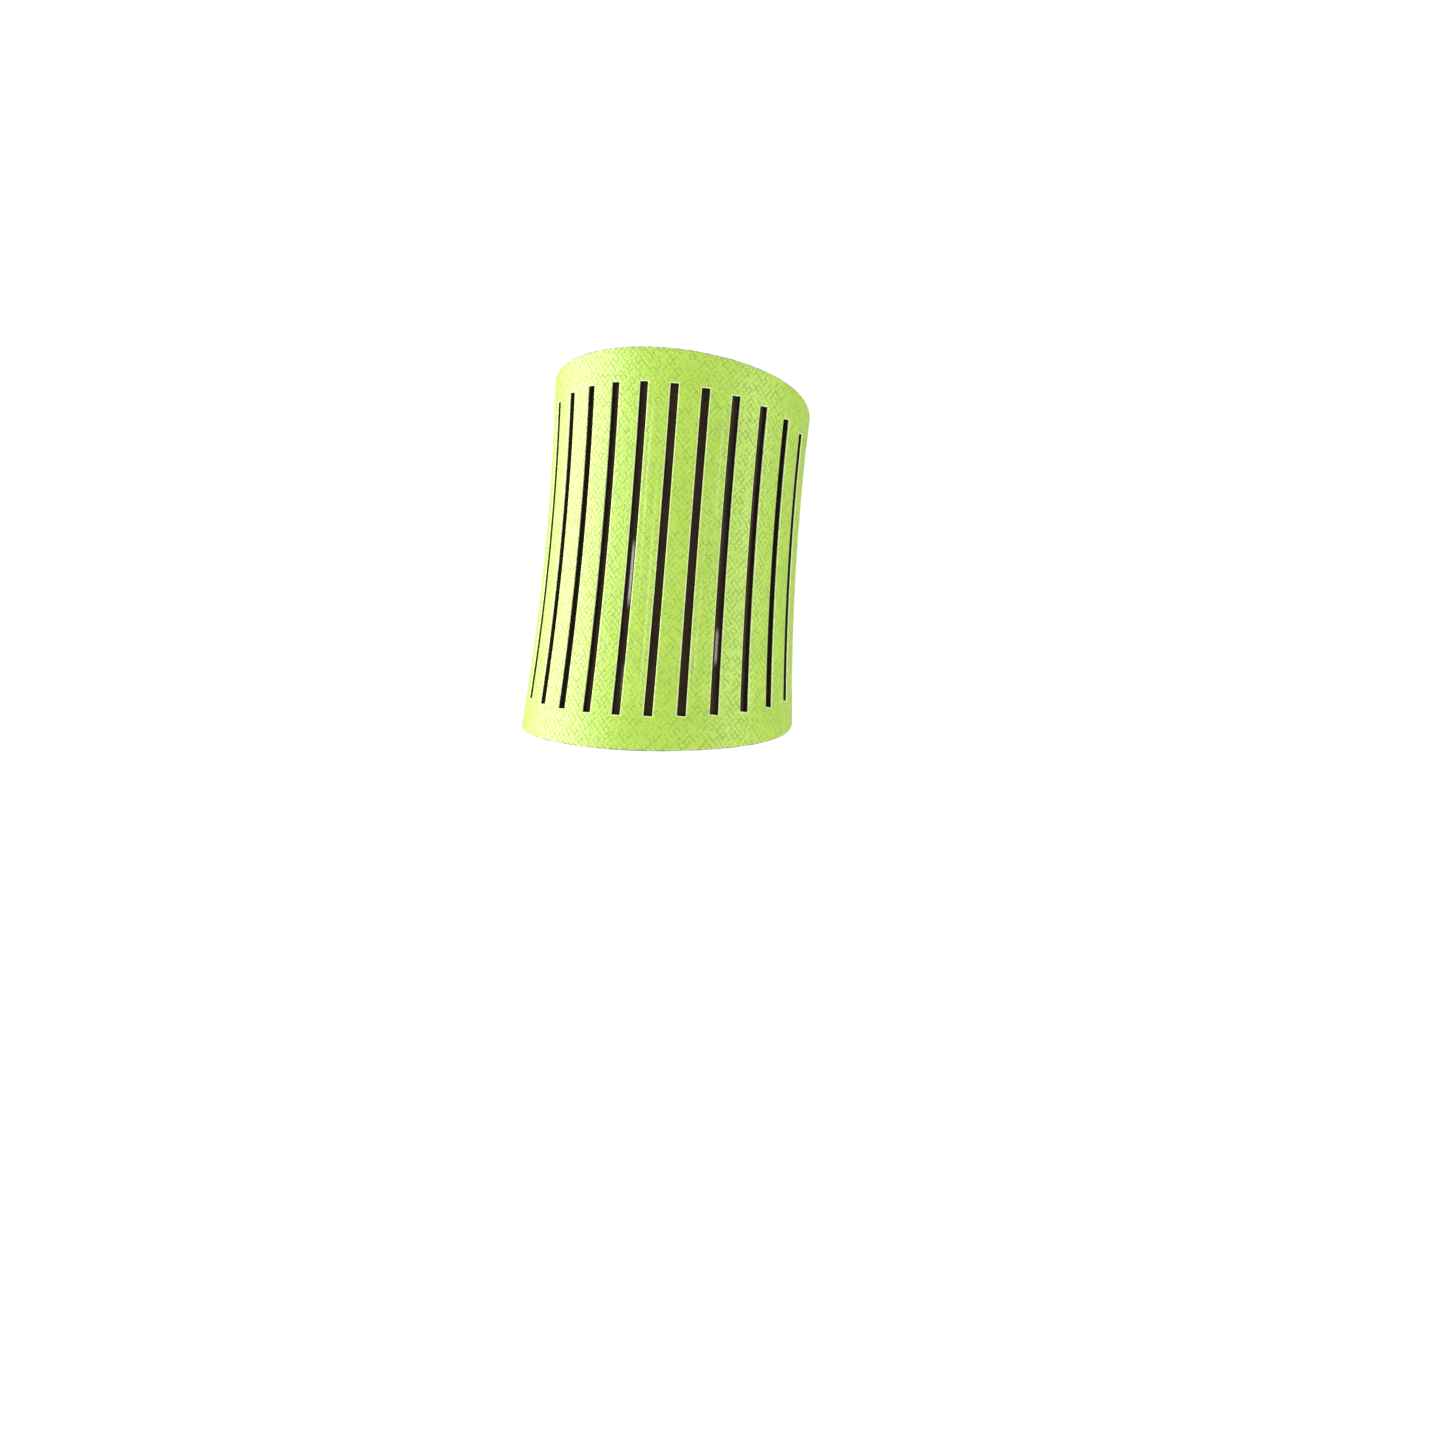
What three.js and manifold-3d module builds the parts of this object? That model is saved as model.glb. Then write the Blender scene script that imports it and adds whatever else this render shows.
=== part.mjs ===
// A slotted leather wristband: lime outer leather, cut with a row of slots, is glued to a plain dark lining.
// It is wrapped round the wrist and closed at the back by two press studs. Millimetres, +Z up along the
// forearm, the front of the band towards -Y, and the origin on the wrist's line at the band's mid-height.
//
// The leather bends at five flex lines as the band opens. Each layer is parted there, so that each stretch
// between two lines is a piece of its own, which swings about the line next to it.
import * as THREE from "three";
import { mergeVertices } from "three/addons/utils/BufferGeometryUtils.js";
import Module from "manifold-3d";

const wasm = await Module();
wasm.setup();

// ---- The closed band, measured on its outer face

const BAND_HALF_WIDTH = 31; // across the wrist
const BAND_HALF_DEPTH = 29; // front to back
const ELLIPSE_TURN = THREE.MathUtils.degToRad(112); // how far round from the front the oval runs
const BACK_Y = 28; // the flat stretch that carries the press studs
const FLAT_HALF_LENGTH = 8.5; // of that stretch, each side of the studs
const TAB_BEYOND_STUDS = 12.7; // the flap's tip, past the studs
const UNDERLAP_BEYOND_STUDS = 12; // the tip beneath it, the other way
const BEND_REACH = 0.38; // handle length of the curve from oval to flat, as a share of its span

// ---- Leather

const OUTER_THICKNESS = 1.2;
const GLUE_LINE = 0.15;
const LINING_THICKNESS = 0.8;
const LEATHER_THICKNESS = OUTER_THICKNESS + GLUE_LINE + LINING_THICKNESS;
const EDGE_HALF_HEIGHT = 48.5; // at the front
const EDGE_RADIUS = 139; // the top and bottom edges are cut to this sweep
const TAB_HALF_HEIGHT = 16; // at the back, where the sweep runs out
const EDGE_EASE = 4; // height over which the sweep eases into the tab
const TAB_CORNER = 7; // corner radius of both tips
const FLARE_AT_EDGE = 1.9; // how far both edges stand out from the waist
const LEAN_AT_EDGE = 0.9; // further out at the hand's edge, and in at the forearm's
const FLARE_FADE = [56, 78]; // the flare dies out between these distances from the front

// ---- Slots

const SLOT_PITCH = 7.5;
const SLOT_WIDTH = 2;
const SLOTS_REACH = 71; // no slot's middle is further than this from the front
const SLOTS_EACH_SIDE = Math.floor(SLOTS_REACH / SLOT_PITCH); // and one on the centre line
const SLOT_MARGIN = 8.3; // plain leather between a slot's end and the band's edge
// The slots are cut through the outer leather only, and the lining shows in them.

// ---- Flex lines

const SIDE_FLEX_REACH = 30; // the side and back flex lines are in the slots nearest to these distances
const BACK_FLEX_REACH = 60;
const TAB_FLEX_FROM_STUDS = 13.2;
const FLEX_GAP = 0.3;

// ---- Press studs

const STUD_HALF_SPACING = 8.3;
const SEAT_GAP = 0.1; // between metal and the leather or metal it is clenched on
const LATHE_SEGMENTS = 20;
const CHAMFER = 0.3;
const STUD_TO_SOCKET = 0.2; // between the socket's mouth and the stud's base when closed
const MOUTH_CLEARANCE = 1; // round the stud's head, so that it tilts out of the socket freely
const LEATHER_HOLE_CLEARANCE = 0.35;
const METAL_HOLE_CLEARANCE = 0.15;
const TUBE_WALL = 0.45;
const FLARE = 0.45; // how far, and how high, a tube's end is turned outwards

const CAP = { r: 6.2, height: 1.6, rimHeight: 0.55, rimWidth: 0.7, sheet: 0.3, tubeR: 1.6 };
const POST = { r: 5, flange: 0.5, tubeR: 1.5 };
const STUD = { r: 4.9, base: 0.5, rise: 1.3, neck: 0.35, sheet: 0.3 };
const STUD_CAVITY_R = POST.tubeR + FLARE + SEAT_GAP;
const STUD_NECK_R = STUD_CAVITY_R + STUD.sheet;
const STUD_HEAD_R = STUD_NECK_R + STUD.neck;
const SPRING = { wireR: 0.3, gap: THREE.MathUtils.degToRad(50), steps: 20, clearance: 0.05 };
const SOCKET = { height: 2.4, floor: 0.55, lip: 0.3, wall: 0.6, flange: 0.45, flangeWidth: 0.7 };
const SOCKET_MOUTH_R = STUD_HEAD_R + MOUTH_CLEARANCE;
const SOCKET_GROOVE_R = SOCKET_MOUTH_R + 3 * SPRING.wireR;
const SOCKET_WALL_R = SOCKET_GROOVE_R + SOCKET.wall;

// Everything along a stud's axis is measured inwards from the flap's outer face.
const SOCKET_TOP = LEATHER_THICKNESS + SEAT_GAP;
const SOCKET_MOUTH = SOCKET_TOP + SOCKET.height;
const STUD_BASE_TOP = SOCKET_MOUTH + STUD_TO_SOCKET;
const UNDERLAP_DROP = STUD_BASE_TOP + STUD.base + SEAT_GAP;

// ---- The band's line in plan

// One half of the band seen from above, from the front round to a tip: oval, easing bend, flat.
// side is 1 for the half that carries the flap, and -1 for the half that lies under it.
function planLine(side, flatY, beyondStuds) {
  const start = -Math.PI / 2;
  const oval = new THREE.EllipseCurve(
    0, 0, BAND_HALF_WIDTH, BAND_HALF_DEPTH, start, start + side * ELLIPSE_TURN, side < 0);
  const ovalEnd = oval.getPoint(1);
  const ovalHeading = oval.getTangent(1);
  const flatStart = new THREE.Vector2(side * FLAT_HALF_LENGTH, flatY);
  const reach = BEND_REACH * ovalEnd.distanceTo(flatStart);
  const bend = new THREE.CubicBezierCurve(
    ovalEnd,
    ovalEnd.clone().addScaledVector(ovalHeading, reach),
    flatStart.clone().add(new THREE.Vector2(side * reach, 0)),
    flatStart,
  );
  const tip = new THREE.Vector2(-side * beyondStuds, flatY);
  const line = new THREE.CurvePath();
  line.add(oval);
  line.add(bend);
  line.add(new THREE.LineCurve(flatStart, tip));
  return line;
}

const flapLine = planLine(1, BACK_Y, TAB_BEYOND_STUDS);
const underlapLine = planLine(-1, BACK_Y - UNDERLAP_DROP, UNDERLAP_BEYOND_STUDS);
const FLAP_END = flapLine.getLength();
const UNDERLAP_END = underlapLine.getLength();

// The outer face's point and outward direction at a distance along the band: 0 at the front,
// positive towards the flap's tip, negative towards the underlap's.
function planAt(along) {
  const flap = along >= 0;
  const line = flap ? flapLine : underlapLine;
  const share = Math.min(Math.abs(along) / line.getLength(), 1);
  const point = line.getPoint(share);
  const heading = line.getTangent(share);
  const outward = flap
    ? new THREE.Vector2(heading.y, -heading.x)
    : new THREE.Vector2(-heading.y, heading.x);
  return { point, outward };
}

function flareAt(along, z) {
  const fade = 1 - THREE.MathUtils.smoothstep(Math.abs(along), ...FLARE_FADE);
  const share = z / EDGE_HALF_HEIGHT;
  return fade * (FLARE_AT_EDGE * share * share - LEAN_AT_EDGE * share);
}

// A point of the band: along it, up it, and in from its outer face.
function bandPoint(along, z, depth) {
  const { point, outward } = planAt(along);
  point.addScaledVector(outward, flareAt(along, z) - depth);
  return [point.x, point.y, z];
}

// ---- Outline of the strip

function sweptHalfHeight(along) {
  return EDGE_HALF_HEIGHT - (along * along) / (2 * EDGE_RADIUS);
}

// The larger of two heights, eased where they meet.
function easedMax(a, b) {
  const over = a - b;
  if (over >= EDGE_EASE) return a;
  if (over <= -EDGE_EASE) return b;
  return b + (over + EDGE_EASE) ** 2 / (4 * EDGE_EASE);
}

function edgeHalfHeight(along) {
  const height = easedMax(sweptHalfHeight(along), TAB_HALF_HEIGHT);
  const toTip = (along > 0 ? FLAP_END : UNDERLAP_END) - Math.abs(along);
  const intoCorner = TAB_CORNER - toTip;
  if (intoCorner <= 0) return height;
  return height - TAB_CORNER + Math.sqrt(Math.max(TAB_CORNER ** 2 - intoCorner ** 2, 0));
}

// ---- Solids

// A closed six-sided body on a grid: pointAt(column, row, 0 or 1) gives the outer and inner face.
function gridSolid(columns, rows, pointAt) {
  const vertices = [];
  const index = (i, j, k) => (i * rows + j) * 2 + k;
  for (let i = 0; i < columns; i++)
    for (let j = 0; j < rows; j++)
      for (const k of [0, 1]) vertices.push(...pointAt(i, j, k));
  const triangles = [];
  const quad = (a, b, c, d) => triangles.push(a, b, c, a, c, d);
  for (let i = 0; i + 1 < columns; i++)
    for (let j = 0; j + 1 < rows; j++) {
      quad(index(i, j, 0), index(i + 1, j, 0), index(i + 1, j + 1, 0), index(i, j + 1, 0));
      quad(index(i, j, 1), index(i, j + 1, 1), index(i + 1, j + 1, 1), index(i + 1, j, 1));
    }
  const last = columns - 1;
  const top = rows - 1;
  for (let i = 0; i < last; i++) {
    quad(index(i, 0, 0), index(i, 0, 1), index(i + 1, 0, 1), index(i + 1, 0, 0));
    quad(index(i, top, 0), index(i + 1, top, 0), index(i + 1, top, 1), index(i, top, 1));
  }
  for (let j = 0; j < top; j++) {
    quad(index(0, j, 0), index(0, j + 1, 0), index(0, j + 1, 1), index(0, j, 1));
    quad(index(last, j, 0), index(last, j, 1), index(last, j + 1, 1), index(last, j + 1, 0));
  }
  return solidFrom(vertices, triangles);
}

function solidFrom(vertices, triangles) {
  return new wasm.Manifold(
    new wasm.Mesh({
      numProp: 3,
      vertProperties: new Float32Array(vertices),
      triVerts: new Uint32Array(triangles),
    }),
  );
}

function solidFromGeometry(geometry) {
  const bare = geometry.clone();
  bare.deleteAttribute("normal");
  bare.deleteAttribute("uv");
  const merged = mergeVertices(bare, 1e-4);
  return solidFrom(merged.attributes.position.array, merged.index.array);
}

function geometryFromSolid(solid) {
  const mesh = solid.getMesh();
  const geometry = new THREE.BufferGeometry();
  geometry.setAttribute("position", new THREE.BufferAttribute(mesh.vertProperties, 3));
  geometry.setIndex(new THREE.BufferAttribute(mesh.triVerts, 1));
  geometry.computeVertexNormals();
  return geometry;
}

// ---- Leather pieces

const ROWS = 7;
const CORNER_STEPS = 4;
const CLOSEST_COLUMNS = 0.4;
const CUT_OVERRUN = 3; // how far a cutter passes both faces of the leather

// Where the leather's grid has columns: the middle of each slot, twice as close past the last of them,
// where the flat stretch starts, and round the corners of both tips.
function columnsBetween(from, to) {
  const found = [
    FLAP_END - TAB_BEYOND_STUDS - FLAT_HALF_LENGTH,
    UNDERLAP_BEYOND_STUDS + FLAT_HALF_LENGTH - UNDERLAP_END,
  ];
  const step = SLOT_PITCH / 2;
  for (let n = Math.ceil(from / step); n * step < to; n++) {
    if (n % 2 === 0 || Math.abs(n * step) > SLOTS_EACH_SIDE * SLOT_PITCH) found.push(n * step);
  }
  for (let n = 1; n <= CORNER_STEPS; n++) {
    const fromTip = TAB_CORNER * (1 - Math.cos((n / CORNER_STEPS) * (Math.PI / 2)));
    found.push(FLAP_END - fromTip, fromTip - UNDERLAP_END);
  }
  const columns = [from];
  for (const along of found.sort((a, b) => a - b)) {
    if (along > columns.at(-1) + CLOSEST_COLUMNS && along < to - CLOSEST_COLUMNS) columns.push(along);
  }
  return [...columns, to];
}

// A stretch of one layer, cut to the strip's outline, before its slots and holes.
function layerBlank(from, to, topDepth, bottomDepth) {
  const columns = columnsBetween(from, to);
  return gridSolid(columns.length, ROWS, (i, j, k) => {
    const share = (2 * j) / (ROWS - 1) - 1;
    return bandPoint(columns[i], share * edgeHalfHeight(columns[i]), k ? bottomDepth : topDepth);
  });
}

function slotCutter(number) {
  const along = number * SLOT_PITCH;
  const halfLength = sweptHalfHeight(along) - SLOT_MARGIN;
  return gridSolid(2, 2, (i, j, k) => {
    const depth = k ? OUTER_THICKNESS + CUT_OVERRUN : -CUT_OVERRUN;
    return bandPoint(along + (i - 0.5) * SLOT_WIDTH, (2 * j - 1) * halfLength, depth);
  });
}

// A hole through both layers for a tube of radius tubeR, where their outer face is at y.
function tubeHoleCutter(tubeR, y, z) {
  const length = LEATHER_THICKNESS + 2 * CUT_OVERRUN;
  const radius = tubeR + LEATHER_HOLE_CLEARANCE;
  const drill = new THREE.CylinderGeometry(radius, radius, length, LATHE_SEGMENTS);
  drill.translate(0, y - LEATHER_THICKNESS / 2, z);
  return solidFromGeometry(drill);
}

function cutSlots(layer, from, to) {
  let slotted = layer;
  for (let number = -SLOTS_EACH_SIDE; number <= SLOTS_EACH_SIDE; number++) {
    const along = number * SLOT_PITCH;
    if (along + SLOT_WIDTH > from && along - SLOT_WIDTH < to) slotted = slotted.subtract(slotCutter(number));
  }
  return slotted;
}

function cutTubeHoles(layer, from, to) {
  let holed = layer;
  for (const z of [-STUD_HALF_SPACING, STUD_HALF_SPACING]) {
    if (to === FLAP_END) holed = holed.subtract(tubeHoleCutter(CAP.tubeR, BACK_Y, z));
    if (from === -UNDERLAP_END) {
      holed = holed.subtract(tubeHoleCutter(POST.tubeR, BACK_Y - UNDERLAP_DROP, z));
    }
  }
  return holed;
}

function outerLeather(from, to) {
  const slotted = cutSlots(layerBlank(from, to, 0, OUTER_THICKNESS), from, to);
  return geometryFromSolid(cutTubeHoles(slotted, from, to));
}

function lining(from, to) {
  const blank = layerBlank(from, to, OUTER_THICKNESS + GLUE_LINE, LEATHER_THICKNESS);
  return geometryFromSolid(cutTubeHoles(blank, from, to));
}

const sideFlex = Math.round(SIDE_FLEX_REACH / SLOT_PITCH) * SLOT_PITCH;
const backFlex = Math.round(BACK_FLEX_REACH / SLOT_PITCH) * SLOT_PITCH;
const tabFlex = FLAP_END - TAB_BEYOND_STUDS - TAB_FLEX_FROM_STUDS;
const halfGap = FLEX_GAP / 2;

// Each stretch between two flex lines, from the underlap's tip to the flap's.
const STRETCHES = [
  ["underlap", -UNDERLAP_END, -backFlex - halfGap],
  ["left_side", -backFlex + halfGap, -sideFlex - halfGap],
  ["front", -sideFlex + halfGap, sideFlex - halfGap],
  ["right_side", sideFlex + halfGap, backFlex - halfGap],
  ["right_back", backFlex + halfGap, tabFlex - halfGap],
  ["snap_tab", tabFlex + halfGap, FLAP_END],
];

// ---- Press stud pieces, turned about +Y, which points out of the band

const outward = (radius, depth) => new THREE.Vector2(radius, -depth);

function turned(points) {
  return new THREE.LatheGeometry(points, LATHE_SEGMENTS);
}

// A closed ring's outline comes back to its first point.
function turnedRing(points) {
  return turned([...points, points[0].clone()]);
}

// Domed cap on the flap's outer face. Its tube goes through the leather and is flared in the socket.
function capGeometry() {
  const seat = -SEAT_GAP;
  const underside = seat - CAP.sheet;
  const bore = CAP.tubeR - TUBE_WALL;
  const flareStart = SOCKET_TOP + SOCKET.floor + SEAT_GAP / 2;
  const flareEnd = flareStart + FLARE;
  const dome = [1, 0.86, 0.64, 0.35].map((share) => {
    const rise = CAP.rimHeight + (CAP.height - CAP.rimHeight) * Math.sqrt(1 - share * share);
    return outward(CAP.r * share, seat - rise);
  });
  return turned([
    outward(0, underside),
    outward(bore, underside),
    outward(bore, flareStart),
    outward(CAP.tubeR, flareEnd),
    outward(CAP.tubeR + FLARE, flareEnd - SEAT_GAP),
    outward(CAP.tubeR, flareStart),
    outward(CAP.tubeR, underside),
    outward(CAP.r - CAP.rimWidth - CHAMFER, underside),
    outward(CAP.r - CAP.rimWidth, seat),
    outward(CAP.r - CHAMFER, seat),
    ...dome,
    outward(0, seat - CAP.height),
  ]);
}

// Socket on the flap's inner face, with a groove inside its mouth for the ring spring.
function socketGeometry() {
  const floor = SOCKET_TOP + SOCKET.floor;
  const flange = SOCKET_TOP + SOCKET.flange;
  const grooveEnd = SOCKET_MOUTH - SOCKET.lip;
  const hole = CAP.tubeR + METAL_HOLE_CLEARANCE;
  return turnedRing([
    outward(hole, SOCKET_TOP),
    outward(hole, floor),
    outward(SOCKET_GROOVE_R - CHAMFER, floor),
    outward(SOCKET_GROOVE_R, floor + CHAMFER),
    outward(SOCKET_GROOVE_R, grooveEnd),
    outward(SOCKET_MOUTH_R, grooveEnd),
    outward(SOCKET_MOUTH_R, SOCKET_MOUTH),
    outward(SOCKET_WALL_R - CHAMFER, SOCKET_MOUTH),
    outward(SOCKET_WALL_R, SOCKET_MOUTH - CHAMFER),
    outward(SOCKET_WALL_R, flange),
    outward(SOCKET_WALL_R + SOCKET.flangeWidth, flange),
    outward(SOCKET_WALL_R + SOCKET.flangeWidth, SOCKET_TOP),
  ]);
}

// Open wire ring in the socket's groove, at the width it springs to round the stud.
function springGeometry() {
  const radius = SOCKET_MOUTH_R + SPRING.clearance + SPRING.wireR;
  const depth = SOCKET_MOUTH - SOCKET.lip - SPRING.wireR - SPRING.clearance;
  const wire = [];
  for (let n = 0; n <= SPRING.steps; n++) {
    const angle = SPRING.gap / 2 + (n / SPRING.steps) * (2 * Math.PI - SPRING.gap);
    wire.push(new THREE.Vector3(radius * Math.cos(angle), -depth, radius * Math.sin(angle)));
  }
  const section = new THREE.Shape();
  section.absarc(0, 0, SPRING.wireR, 0, 2 * Math.PI);
  return new THREE.ExtrudeGeometry(section, {
    steps: SPRING.steps,
    curveSegments: 4,
    extrudePath: new THREE.CatmullRomCurve3(wire),
  });
}

// Stud on the underlap's outer face: a base plate and a waisted hollow head that the socket closes over.
function studGeometry() {
  const base = STUD_BASE_TOP + STUD.base;
  const top = STUD_BASE_TOP - STUD.rise;
  const hole = POST.tubeR + METAL_HOLE_CLEARANCE;
  return turnedRing([
    outward(hole, base),
    outward(STUD.r, base),
    outward(STUD.r, STUD_BASE_TOP),
    outward(STUD_NECK_R, STUD_BASE_TOP),
    outward(STUD_NECK_R, STUD_BASE_TOP - STUD.neck),
    outward(STUD_HEAD_R, STUD_BASE_TOP - 2 * STUD.neck),
    outward(STUD_HEAD_R, top + CHAMFER),
    outward(STUD_HEAD_R - CHAMFER, top),
    outward(hole, top),
    outward(hole, top + STUD.sheet),
    outward(STUD_CAVITY_R, top + STUD.sheet),
    outward(STUD_CAVITY_R, STUD_BASE_TOP),
    outward(hole, STUD_BASE_TOP),
  ]);
}

// Post behind the underlap: a flat head against the lining and a tube flared inside the stud.
function postGeometry() {
  const seat = UNDERLAP_DROP + LEATHER_THICKNESS + SEAT_GAP;
  const bore = POST.tubeR - TUBE_WALL;
  const flareStart = STUD_BASE_TOP - SEAT_GAP / 2;
  const flareEnd = flareStart - FLARE;
  return turned([
    outward(0, seat + POST.flange),
    outward(POST.r - CHAMFER, seat + POST.flange),
    outward(POST.r, seat + POST.flange - CHAMFER),
    outward(POST.r, seat),
    outward(POST.tubeR, seat),
    outward(POST.tubeR, flareStart),
    outward(POST.tubeR + FLARE - SEAT_GAP, flareEnd + SEAT_GAP),
    outward(POST.tubeR, flareEnd),
    outward(bore, flareStart),
    outward(bore, seat),
    outward(0, seat),
  ]);
}

// ---- Materials

const limeLeather = new THREE.MeshStandardMaterial({ color: 0xa9de3c, roughness: 0.45, metalness: 0 });
const darkLining = new THREE.MeshStandardMaterial({ color: 0x2b2118, roughness: 0.75, metalness: 0 });
const nickel = new THREE.MeshStandardMaterial({ color: 0xc9c8c4, roughness: 0.25, metalness: 1 });
const springSteel = new THREE.MeshStandardMaterial({ color: 0x9c9a94, roughness: 0.35, metalness: 1 });

// ---- Assembly

const wristband = new THREE.Group();

function addPiece(parent, name, geometry, material) {
  const piece = new THREE.Mesh(geometry, material);
  piece.name = name;
  parent.add(piece);
}

for (const [place, from, to] of STRETCHES) {
  addPiece(wristband, `outer_leather_${place}`, outerLeather(from, to), limeLeather);
  addPiece(wristband, `lining_${place}`, lining(from, to), darkLining);
}

for (const [place, side] of [["upper", 1], ["lower", -1]]) {
  const stack = new THREE.Group();
  stack.position.set(0, BACK_Y, side * STUD_HALF_SPACING);
  addPiece(stack, `snap_cap_${place}`, capGeometry(), nickel);
  addPiece(stack, `snap_socket_${place}`, socketGeometry(), nickel);
  addPiece(stack, `ring_spring_${place}`, springGeometry(), springSteel);
  addPiece(stack, `snap_stud_${place}`, studGeometry(), nickel);
  addPiece(stack, `snap_post_${place}`, postGeometry(), nickel);
  wristband.add(stack);
}

export default wristband;
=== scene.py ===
"""The slotted leather wristband's looks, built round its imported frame. Metres, +Z up the forearm."""
import math

import bmesh
import bpy
import numpy as np
from mathutils import Matrix, Vector


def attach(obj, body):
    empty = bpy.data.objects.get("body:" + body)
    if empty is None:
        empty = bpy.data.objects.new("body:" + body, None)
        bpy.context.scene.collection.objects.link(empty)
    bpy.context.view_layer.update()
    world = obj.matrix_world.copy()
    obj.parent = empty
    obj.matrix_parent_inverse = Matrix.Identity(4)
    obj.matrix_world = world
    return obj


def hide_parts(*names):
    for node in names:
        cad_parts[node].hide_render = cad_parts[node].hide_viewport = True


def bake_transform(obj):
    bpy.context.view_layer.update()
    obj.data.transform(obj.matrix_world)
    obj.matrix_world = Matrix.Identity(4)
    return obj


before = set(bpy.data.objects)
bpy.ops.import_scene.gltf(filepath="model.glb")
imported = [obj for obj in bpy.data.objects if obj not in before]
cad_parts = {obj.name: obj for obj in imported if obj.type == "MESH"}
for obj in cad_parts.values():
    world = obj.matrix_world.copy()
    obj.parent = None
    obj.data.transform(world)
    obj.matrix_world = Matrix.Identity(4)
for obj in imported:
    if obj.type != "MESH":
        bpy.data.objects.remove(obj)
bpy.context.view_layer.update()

MM = 0.001

# ---- The band, as the CAD has it

BAND_HALF_WIDTH = 31 * MM
BAND_HALF_DEPTH = 29 * MM
OVAL_TURN = math.radians(112)
BACK_Y = 28 * MM
FLAT_HALF_LENGTH = 8.5 * MM
TAB_BEYOND_STUDS = 12.7 * MM
UNDERLAP_BEYOND_STUDS = 12 * MM
BEND_REACH = 0.38
OUTER_THICKNESS = 1.2 * MM
GLUE_LINE = 0.15 * MM
LEATHER_THICKNESS = 2.15 * MM
UNDERLAP_DROP = 5.45 * MM
EDGE_HALF_HEIGHT = 48.5 * MM
EDGE_RADIUS = 139 * MM
TAB_HALF_HEIGHT = 16 * MM
EDGE_EASE = 4 * MM
TAB_CORNER = 7 * MM
FLARE_AT_EDGE = 1.9 * MM
LEAN_AT_EDGE = 0.9 * MM
FLARE_FADE = (56 * MM, 78 * MM)
SLOT_PITCH = 7.5 * MM
SLOT_WIDTH = 2 * MM
SLOTS_EACH_SIDE = 9
SLOT_MARGIN = 8.3 * MM
SLOT_LEVEL = 0.3 * MM      # the grid's rows stay level this far past each side of a slot
STUD_HALF_SPACING = 8.3 * MM
LEATHER_HOLE_CLEARANCE = 0.35 * MM
CAP_TUBE_R = 1.6 * MM
POST_TUBE_R = 1.5 * MM

SEAT_GAP = 0.1 * MM
METAL_HOLE_CLEARANCE = 0.15 * MM
TUBE_WALL = 0.45 * MM
TUBE_FLARE = 0.45 * MM
CAP_R = 6.2 * MM
CAP_HEIGHT = 1.6 * MM
CAP_RIM_HEIGHT = 0.55 * MM
CAP_RIM_WIDTH = 0.7 * MM
CAP_SHEET = 0.3 * MM
SOCKET_TOP = 2.25 * MM      # these depths are measured inwards from the flap's outer face
SOCKET_MOUTH = 4.65 * MM
STUD_BASE_TOP = 4.85 * MM
SOCKET_FLOOR = 0.55 * MM
SOCKET_LIP = 0.3 * MM
SOCKET_FLANGE = 0.45 * MM
SOCKET_MOUTH_R = 3.7 * MM
SOCKET_GROOVE_R = 4.6 * MM
SOCKET_WALL_R = 5.2 * MM
SOCKET_FLANGE_R = 5.9 * MM
STUD_R = 4.9 * MM
STUD_BASE = 0.5 * MM
STUD_RISE = 1.3 * MM
STUD_NECK = 0.35 * MM
STUD_SHEET = 0.3 * MM
STUD_CAVITY_R = 2.05 * MM
STUD_NECK_R = 2.35 * MM
STUD_HEAD_R = 2.7 * MM
POST_R = 5 * MM
POST_FLANGE = 0.5 * MM
SPRING_WIRE_R = 0.3 * MM
SPRING_CLEARANCE = 0.05 * MM
SPRING_GAP = math.radians(50)

# ---- Finer shape of the leather

CUT_ROUND = 0.22 * MM      # the outer face turns down by this much at every cut
CREASE_PLACES = (0.27, 0.73)   # two faint creases run along each strip, at these shares of its width
CREASE_DEPTH = 0.075 * MM
CREASE_HALF_WIDTH = 0.22 * MM
CREASED = {0: 1.0, 2: 0.7, -1: 0.4}   # the strips where they show most, counted from the front slot
LITTLE_CREASED = 0.15
CREASE_WANDER = 0.16 * MM
CREASE_FADE = (0.7, 1.02)  # they fade between these shares of the slots' half length
WAVE = 0.1 * MM            # slow unevenness of the whole band, which fades out before the studs
WAVE_FADE = (68 * MM, 82 * MM)
LEFT_BULGE = 1.3 * MM      # both sides stand a little fuller than the plain oval
RIGHT_BULGE = 0.7 * MM
BULGE_AT = 42 * MM
BULGE_WIDTH = 17 * MM
LAYERS_APART = 0.03 * MM   # the glued layers nearly touch
SWELL = 0.08 * MM          # clenched leather swells up against the studs' metal
SWELL_FADE = 1.4 * MM
PRESS_RING = 0.1 * MM      # and a shallow ring is pressed into it round them
PRESS_RING_R = 7 * MM
PRESS_RING_WIDTH = 0.7 * MM


def smoothstep(x, low, high):
    t = np.clip((x - low) / (high - low), 0, 1)
    return t * t * (3 - 2 * t)


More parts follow.
